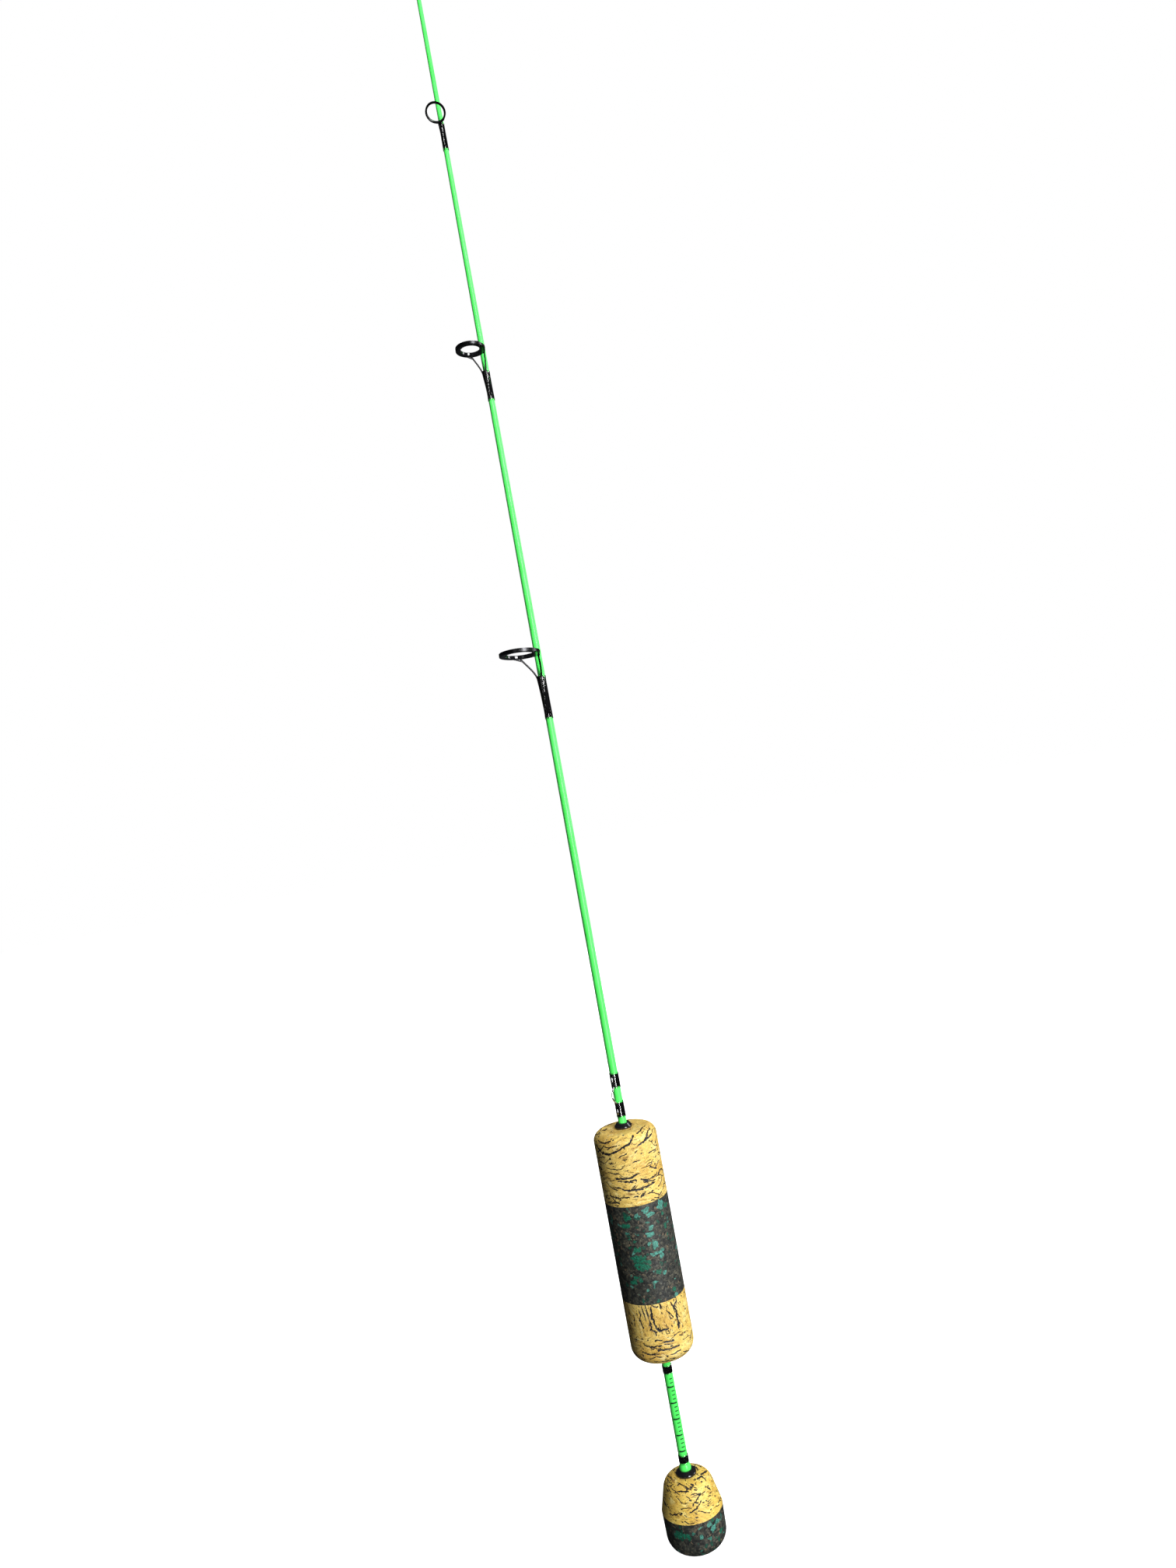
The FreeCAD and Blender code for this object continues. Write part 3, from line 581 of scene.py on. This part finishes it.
def ring_mesh(skin, grid, solid_foot=False):
    """Points, faces and skin flags of one ring; a solid foot closes over the axis."""
    columns, step_height = grid
    rows = ring_rows(skin, step_height)
    if solid_foot:
        rows.append((skin.bore, skin.floor, False))
    radii, heights, flags = (np.array(part, dtype=float) for part in zip(*rows))
    turns = np.arange(columns) * (2 * math.pi / columns)
    points = np.stack([np.outer(radii, np.cos(turns)), np.outer(radii, np.sin(turns)),
                       np.repeat(heights[:, None], columns, axis=1)], axis=-1)
    along = np.gradient(np.stack([radii, heights], axis=-1), axis=0)
    along /= np.linalg.norm(along, axis=1)[:, None] + 1e-12
    outward = np.stack([np.outer(along[:, 1], np.cos(turns)), np.outer(along[:, 1], np.sin(turns)),
                        np.repeat(-along[:, 0][:, None], columns, axis=1)], axis=-1)
    points, outward = points.reshape(-1, 3), outward.reshape(-1, 3)
    flags = np.repeat(flags, columns)
    if not solid_foot:
        return points, outward, flags, loop_faces(len(rows), columns)
    ends = np.array([[0, 0, heights[0]], [0, 0, skin.floor]])
    points = np.concatenate([points, ends])
    outward = np.concatenate([outward, [[0, 0, -1], [0, 0, 1]]])
    return points, outward, np.concatenate([flags, [0, 0]]), span_faces(len(rows), columns)


def stroke(skin, places, half_width, source):
    """Wandering crack through given places, as (start, end, half width) pieces."""
    pieces, previous = [], None
    for (angle0, climb0), (angle1, climb1) in zip(places, places[1:]):
        length = math.hypot(math.radians(angle1 - angle0) * skin.widest, climb1 - climb0)
        steps = max(2, round(length / STROKE_STEP))
        for step in range(steps + 1):
            share = step / steps
            angle = angle0 + (angle1 - angle0) * share + source.gauss(0, 0.9)
            climb = climb0 + (climb1 - climb0) * share + source.gauss(0, 0.13)
            point = skin.spot(angle, climb)
            if previous is not None:
                pieces.append((previous, point, half_width * source.uniform(0.45, 1.15)))
            previous = point
    return pieces


def drift(skin, normal, source, length, half_width):
    """Random crack that follows the grain, whose layers have this normal."""
    low, high = skin.limits()
    angle = source.uniform(-180, 180)
    climb = source.uniform(low + 0.3, high - 0.3)
    way = source.choice((-1, 1))
    pieces, previous = [], skin.spot(angle, climb)
    bend = source.uniform(-0.35, 0.35)
    for _ in range(max(1, round(length / DRIFT_STEP))):
        radius, _ = skin.at(climb)
        turn = math.radians(angle) + FACING
        side = Vector((-math.sin(turn), math.cos(turn), 0))
        upward = Vector(skin.spot(angle, climb + 0.1) - skin.spot(angle, climb - 0.1))
        if upward.length < 1e-6:
            break
        upward.normalize()
        grain = side.cross(upward).cross(normal)
        if grain.length < 0.15:
            grain = side
        grain = (grain.normalized() + upward * bend).normalized() * way
        bend += source.gauss(0, 0.22)
        angle += math.degrees(grain.dot(side) * DRIFT_STEP / radius)
        climb = min(max(climb + grain.dot(upward) * DRIFT_STEP, low + 0.1), high - 0.1)
        point = skin.spot(angle, climb)
        pieces.append((previous, point, half_width * source.uniform(0.4, 1.1)))
        previous = point
    return pieces


def carve(points, pieces):
    """How deep in a crack each point is, from 0 outside to 1 in its middle."""
    depth = np.zeros(len(points))
    for start, end, half_width in pieces:
        low = np.minimum(start, end) - half_width
        high = np.maximum(start, end) + half_width
        near = np.nonzero(np.all((points > low) & (points < high), axis=1))[0]
        if not len(near):
            continue
        local = points[near] - start
        run = end - start
        share = np.clip(local @ run / max(run @ run, 1e-9), 0, 1)
        distance = np.linalg.norm(local - share[:, None] * run, axis=1)
        depth[near] = np.maximum(depth[near], np.clip(1 - distance / half_width, 0, 1))
    return depth


def grain_frame(lean, aim):
    """Turn whose third axis is the grain's normal: lean from the rod, towards an aim angle."""
    direction = Matrix.Rotation(math.radians(aim) + FACING, 3, "Z")
    return direction @ Matrix.Rotation(math.radians(lean), 3, "Y")


# Each cork ring: seed, grain lean and aim, random cracks and pits, and listed cracks. A crack
# is its half width and its places; a place is an angle from the facing side and a climb.
CORK_RINGS = {
    "front_high_cork_ring_2": (11, 16, -90, 62, 60, (
        (0.34, ((-66, 9.9), (-51, 7.2), (-34, 7.1), (-12, 8.9), (6, 10.5), (18, 13.0))),
        (0.30, ((21, 9.0), (37, 10.0), (57, 11.0))),
        (0.26, ((38, 10.6), (52, 12.6), (66, 13.2))),
        (0.22, ((-60, 12.0), (-44, 11.2), (-30, 12.4))),
        (0.24, ((26, 13.6), (44, 14.8), (60, 16.0))),
        (0.20, ((-70, 4.0), (-55, 3.4))),
        (0.34, ((-24, 12.5), (-22, 12.7))),
        (0.26, ((-3, 14.5), (-1, 14.6))),
        (0.24, ((-34, 3.5), (-32, 3.6))),
        (0.40, ((-76, 1.0), (-64, 0.9))),
        (0.26, ((-120, 9.0), (-140, 7.0), (-160, 8.4))),
        (0.28, ((110, 4.5), (135, 6.0), (150, 5.2))),
    )),
    "front_high_cork_ring_1": (12, 3, 20, 60, 55, (
        (0.30, ((-30, 11.4), (-18, 11.0), (-5, 10.9), (12, 12.0))),
        (0.22, ((-26, 10.2), (-10, 9.9), (0, 9.2))),
        (0.24, ((-4, 10.0), (8, 9.6))),
        (0.24, ((15, 9.8), (27, 8.6))),
        (0.32, ((-21, 6.9), (-8, 6.3), (8, 6.1), (22, 6.4), (38, 6.7))),
        (0.24, ((-40, 7.8), (-22, 7.6))),
        (0.24, ((20, 8.8), (40, 8.9), (52, 9.6))),
        (0.24, ((10, 3.1), (21, 4.6))),
        (0.22, ((-59, 1.4), (-34, 1.6))),
        (0.20, ((-50, 4.2), (-30, 3.6), (-12, 3.9))),
        (0.28, ((33, 3.9), (35, 4.1))),
        (0.28, ((118, 6.0), (142, 5.2), (158, 6.6))),
        (0.26, ((-110, 3.0), (-132, 4.4), (-150, 3.8))),
    )),
    "front_low_cork_ring_2": (13, 78, 75, 46, 60, (
        (0.36, ((-8, 11.2), (-10, 7.3), (-5, 3.9), (-1, 2.0), (15, 2.0))),
        (0.28, ((-15, 5.8), (-14, 2.7), (-7, 1.5))),
        (0.36, ((40, 10.6), (34, 9.2), (38, 6.0), (37, 0.8))),
        (0.26, ((8, 12.1), (9, 10.2))),
        (0.22, ((-4, 12.0), (0, 11.0), (4, 11.3))),
        (0.22, ((-30, 9.4), (-33, 6.0), (-28, 3.2))),
        (0.20, ((-46, 8.0), (-48, 3.4))),
        (0.24, ((28, 11.4), (33, 10.0))),
        (0.34, ((120, 10.0), (116, 6.4), (124, 2.6))),
        (0.30, ((-140, 9.0), (-146, 5.0), (-138, 2.0))),
    )),
    "front_low_cork_ring_1": (14, 7, 150, 60, 60, (
        (0.26, ((-12, 10.8), (1, 10.6))),
        (0.26, ((4, 9.7), (22, 9.3))),
        (0.26, ((-34, 9.0), (-16, 8.2), (-2, 8.5))),
        (0.26, ((-10, 7.0), (15, 6.6), (30, 6.8))),
        (0.22, ((-42, 6.2), (-24, 5.4), (-8, 5.6))),
        (0.24, ((12, 4.4), (32, 4.9))),
        (0.24, ((-20, 2.2), (2, 1.6), (18, 2.0))),
        (0.32, ((-41, 4.4), (-39, 4.4))),
        (0.30, ((4, 4.1), (6, 4.1))),
        (0.26, ((-35, 9.5), (-33, 9.5))),
    )),
    "butt_cork_ring": (15, 20, 110, 38, 110, (
        (0.30, ((66, 14.6), (84, 13.6), (96, 12.4))),
        (0.28, ((40, 14.6), (60, 14.2), (58, 12.0))),
        (0.24, ((44, 10.6), (56, 8.4))),
        (0.22, ((-48, 2.6), (-34, 3.1))),
        (0.30, ((-34, 13.6), (-31, 13.8))),
        (0.30, ((12, 13.0), (15, 13.2))),
        (0.30, ((22, 13.0), (25, 13.1))),
        (0.28, ((28, 14.8), (32, 14.9))),
        (0.28, ((43, 14.6), (46, 14.6))),
        (0.28, ((43, 12.6), (46, 12.6))),
        (0.22, ((4, 6.4), (16, 8.2), (26, 9.4))),
        (0.20, ((-6, 4.0), (10, 5.2), (22, 6.8))),
    )),
}

# Each rubber-cork ring: seed, and chips listed as angle, climb, half width, half height and
# whether the chip is teal rather than emerald.
RUBBER_RINGS = {
    "front_rubber_cork_ring_3": (21, (
        (14, 10.5, 1.4, 1.1, True), (20, 8.4, 1.2, 0.9, True), (44, 11.0, 1.6, 1.4, True),
        (-22, 8.6, 1.5, 1.0, False), (-28, 5.4, 1.9, 0.9, False), (-4, 9.0, 1.0, 0.9, True),
        (17, 3.4, 1.1, 1.0, True), (14, 0.9, 1.3, 1.0, True), (58, 9.0, 1.4, 1.0, False))),
    "front_rubber_cork_ring_2": (22, (
        (-12, 4.9, 2.5, 1.6, False), (-7, 2.0, 2.1, 1.3, False), (-14, 8.8, 1.6, 1.1, False),
        (-20, 2.6, 1.3, 1.0, False), (-24, 5.6, 1.0, 0.7, False), (3, 3.6, 1.0, 0.8, False),
        (16, 6.0, 1.9, 0.6, True), (20, 9.6, 1.1, 1.5, True), (28, 4.6, 0.9, 1.0, True),
        (32, 6.6, 0.8, 0.6, True), (10, 10.6, 0.8, 0.7, True))),
    "front_rubber_cork_ring_1": (23, (
        (18, 12.0, 1.0, 1.0, False), (-32, 9.0, 1.6, 1.0, False), (-26, 11.0, 1.2, 0.8, False),
        (8, 8.3, 1.0, 0.5, True), (28, 10.8, 0.9, 0.7, True), (44, 3.0, 1.0, 0.8, False))),
    "butt_rubber_cork_end": (24, (
        (-36, 10.8, 2.2, 1.3, False), (-20, 10.6, 1.4, 1.0, False), (34, 11.0, 1.2, 0.9, True),
        (46, 12.4, 1.4, 0.9, True), (8, 9.6, 0.8, 0.8, True), (52, 8.0, 1.1, 0.8, False))),
}


def make_cork_ring(name, material):
    """One cork ring with its cracks and pits cut into the mesh."""
    seed, lean, aim, cracks, pits, strokes = CORK_RINGS[name]
    source = random.Random(seed)
    skin = Skin(name)
    points, outward, flags, faces = ring_mesh(skin, CORK_GRID)
    turn = grain_frame(lean, aim)
    normal = turn @ Vector((0, 0, 1))
    pieces = []
    for half_width, places in strokes:
        pieces += stroke(skin, places, half_width * STROKE_BOLDNESS, source)
    for _ in range(cracks):
        length = source.uniform(*CRACK_LENGTHS)
        pieces += drift(skin, normal, source, length, source.uniform(*CRACK_WIDTHS))
    for _ in range(pits):
        pieces += drift(skin, normal, source, PIT_LENGTH, source.uniform(*PIT_WIDTHS))
    depth = carve(points, pieces) * flags
    points = points - outward * (depth * CRACK_DEPTH)[:, None]
    grain = points @ np.array(turn) + seed * 37.0
    return add_piece(f"{name}_turned", points, faces, material, [name],
                     {"crack": depth, "grain": grain})


def make_rubber_ring(name, material):
    """One rubber-cork ring with low granules and the larger chips."""
    seed, chips = RUBBER_RINGS[name]
    skin = Skin(name)
    points, outward, flags, faces = ring_mesh(skin, RUBBER_GRID, name == "butt_rubber_cork_end")
    relief = np.zeros(len(points))
    colours = np.zeros((len(points), 3))
    spots = [(skin.spot(angle, climb), wide, tall, teal) for angle, climb, wide, tall, teal in chips]
    shift = Vector((seed * 5.0, 0, 0))
    for index in np.nonzero(flags)[0]:
        point = Vector(points[index])
        distances = noise.voronoi(point * 0.7 + shift)[0]
        relief[index] = max(0.0, 1 - (distances[1] - distances[0]) * 5)
    ragged = np.array([noise.noise(Vector(point) * 0.9 + shift) for point in points])
    for centre, wide, tall, teal in spots:
        gap = points - centre
        level = gap[:, 2]
        across = np.sqrt(np.maximum((gap ** 2).sum(axis=1) - level ** 2, 0))
        reach = np.sqrt((across / wide) ** 2 + (level / tall) ** 2) + ragged * 0.9
        column = 1 if teal else 0
        colours[:, column] = np.maximum(colours[:, column], np.clip(1.5 - reach, 0, 1))
    points = points - outward * (relief * flags * GRANULE_DEPTH)[:, None]
    return add_piece(f"{name}_turned", points, faces, material, [name],
                     {"chips": colours, "grain": points + seed * 53.0})


# ---------------------------------------------------------------- windings

# How far in from its lower and upper end each winding's walls are measured: clear of the places
# where a leg or the keeper's wire comes out through them.
PROBE_INSETS = {"low_trim": (0.3, 0.3), "high_trim": (0.3, 0.3),
                "keeper_low": (0.6, 0.6), "keeper_high": (0.6, 0.6)}
PROBE_INSETS.update({f"guide_{number}": (0.5, 2.6) for number in GUIDES})


def wall_radii(name, level, turns):
    """Inner and outer radius of a CAD sleeve round the rod, at one height.

    Where a leg comes out through the sleeve, its wall is taken from both sides of the gap."""
    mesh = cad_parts[name].data
    tree = BVHTree.FromPolygons([vertex.co for vertex in mesh.vertices],
                                [tuple(face.vertices) for face in mesh.polygons])
    axis = Vector((0, 0, level * MM))
    found = []
    for turn in turns:
        way = Vector((math.cos(turn), math.sin(turn), 0))
        near = tree.ray_cast(axis, way)[0]
        far = tree.ray_cast(axis + way * RAY_START * MM, -way)[0]
        if near and far:
            found.append((turn, (near - axis).length / MM, (far - axis).length / MM))
    places, *walls = np.array(found).T
    return [np.interp(turns, places, wall, period=2 * math.pi) for wall in walls]


def make_thread(name, material, inset_low, inset_high):
    """Winding of one thread, turn beside turn, in the shape of its CAD sleeve."""
    low, high = (corner[2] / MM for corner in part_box(name))
    turns = (np.arange(THREAD_COLUMNS) + COLUMN_SHIFT) * (2 * math.pi / THREAD_COLUMNS)
    probes = (low + inset_low, high - inset_high)
    walls = [wall_radii(name, probe, turns) for probe in probes]
    rows = round((high - low) / THREAD_PITCH * THREAD_ROWS)
    levels = np.linspace(low, high, rows + 1)
    shares = (levels - probes[0]) / (probes[1] - probes[0])
    outer = walls[0][1] + (walls[1][1] - walls[0][1]) * shares[:, None]
    phase = levels[:, None] / THREAD_PITCH + turns / (2 * math.pi)
    outer -= THREAD_RIDGE * (0.5 - 0.5 * np.cos(2 * math.pi * phase)) ** 1.5
    inner_levels = np.array([high, low])
    inner_shares = (inner_levels - probes[0]) / (probes[1] - probes[0])
    inner = walls[0][0] + (walls[1][0] - walls[0][0]) * inner_shares[:, None]
    radii = np.concatenate([outer, inner])
    heights = np.concatenate([levels, inner_levels])
    points = np.stack([radii * np.cos(turns), radii * np.sin(turns),
                       np.repeat(heights[:, None], THREAD_COLUMNS, axis=1)], axis=-1).reshape(-1, 3)
    faces = loop_faces(len(heights), THREAD_COLUMNS)
    return add_piece(f"{name}_turns", points, faces, material, [name], sharp=60)


# ---------------------------------------------------------------- printed length marks

# Printed ticks: the first and last one's height, the spacing, and a long one to every so many. A long
# and a short tick are their start and end angle from the facing side, and half their height.
FIRST_MARK, LAST_MARK, MARK_SPACING, LONG_EVERY = 37.5, 66.5, 1.6, 4
LONG_MARK, SHORT_MARK = (-38, 48, 0.3), (4, 46, 0.2)
MARK_STEPS = 14


def blank_radii(levels):
    """Radius of the CAD blank at some heights."""
    rings = {z: math.hypot(x, y) for x, y, z in node_points("blank") if math.hypot(x, y) > AXIS_CLEAR}
    heights = sorted(rings)
    return np.interp(levels, heights, [rings[height] for height in heights])


def make_marks(material):
    """Length ticks printed round the blank between the grips, in place of its lettering."""
    points, faces = [], []
    levels = FIRST_MARK + MARK_SPACING * np.arange(int((LAST_MARK - FIRST_MARK) / MARK_SPACING) + 1)
    proud = INK_THICKNESS / 2
    for index, (level, radius) in enumerate(zip(levels, blank_radii(levels))):
        start, end, half = SHORT_MARK if index % LONG_EVERY else LONG_MARK
        base = len(points)
        for step in range(MARK_STEPS + 1):
            turn = math.radians(start + (end - start) * step / MARK_STEPS) + FACING
            for height, lift in ((-half, -proud), (-half, proud), (half, proud), (half, -proud)):
                reach = radius + lift
                points.append((reach * math.cos(turn), reach * math.sin(turn), level + height))
        for step in range(MARK_STEPS):
            here, there = base + step * 4, base + step * 4 + 4
            for side in range(4):
                after = (side + 1) % 4
                faces.append([here + side, there + side, there + after, here + after])
        last = base + MARK_STEPS * 4
        faces.append([base, base + 1, base + 2, base + 3])
        faces.append([last + 3, last + 2, last + 1, last])
    add_piece("length_marks", np.array(points), faces, material, [])


# The paint bead over the butt's check: radius, and height over the check's top. It is smoothed later.
BEAD = ((1.5, -0.25), (2.1, -0.25), (2.32, 0.05), (2.4, 0.45), (2.36, 0.95),
        (2.22, 1.5), (2.02, 2.0), (1.86, 2.35), (1.5, 2.4))
BEAD_COLUMNS = 64


def make_fillet(material):
    """Small bead of sealed paint where the blank comes out of the butt's check."""
    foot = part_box("butt_winding_check")[1][2] / MM
    turns = np.arange(BEAD_COLUMNS) * (2 * math.pi / BEAD_COLUMNS)
    radii, heights = np.array(BEAD).T
    levels = np.repeat((heights + foot)[:, None], BEAD_COLUMNS, axis=1)
    rows = [np.outer(radii, np.cos(turns)), np.outer(radii, np.sin(turns)), levels]
    points = np.stack(rows, axis=-1).reshape(-1, 3)
    bead = add_piece("butt_fillet", points, loop_faces(len(BEAD), BEAD_COLUMNS), material, [])
    smooth = bead.modifiers.new("smooth", "SUBSURF")
    smooth.levels = smooth.render_levels = 1


# ---------------------------------------------------------------- assembly

def dress(material, names):
    """Give CAD nodes a material."""
    for name in names:
        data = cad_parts[name].data
        data.materials.clear()
        data.materials.append(material)


def make_pieces():
    """Detailed pieces where the CAD is plain, and materials for every node that stays."""
    cork = cork_material("burl_cork", 1.0)
    golden = cork_material("golden_cork", 0.8)
    rubber = rubber_cork_material()
    thread = thread_material()
    for name in CORK_RINGS:
        make_cork_ring(name, golden if name == "butt_cork_ring" else cork)
    for name in RUBBER_RINGS:
        make_rubber_ring(name, rubber)
    for winding, insets in PROBE_INSETS.items():
        make_thread(f"{winding}_thread", thread, *insets)
    make_marks(ink_material())
    paint = blank_material()
    make_fillet(paint)
    names = list(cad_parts)
    dress(paint, ["blank"])
    dress(cork, CORK_RINGS)
    dress(rubber, RUBBER_RINGS)
    dress(thread, [name for name in names if name.endswith("_thread")])
    coats = [name for name in names if name.endswith("_coat")]
    trims = [name for name in coats if "trim" in name]
    dress(coat_material("clear_epoxy", False), trims)
    dress(coat_material("bound_epoxy", True), [name for name in coats if name not in trims])
    dress(gloss_material("check_plastic", (0.006, 0.006, 0.007), 0.12, 0.5),
          ["butt_winding_check", "front_winding_check"])
    dress(gloss_material("black_ceramic", (0.005, 0.005, 0.006), 0.07, 0.6),
          [f"guide_{number}_ring" for number in GUIDES] + ["tip_top_ring"])
    dress(metal_material("gunmetal", (0.05, 0.05, 0.053), 0.24),
          [name for name in names if name.endswith("_frame")] + ["tip_top_tube"])
    dress(metal_material("bright_wire", (0.72, 0.73, 0.74), 0.14), ["hook_keeper"])
    dress(tape_material(), [name for name in names if "tape_arbor" in name])
    dress(glue_material(), ["front_grip_epoxy", "butt_grip_epoxy"])


make_camera()
make_studio()
make_pieces()
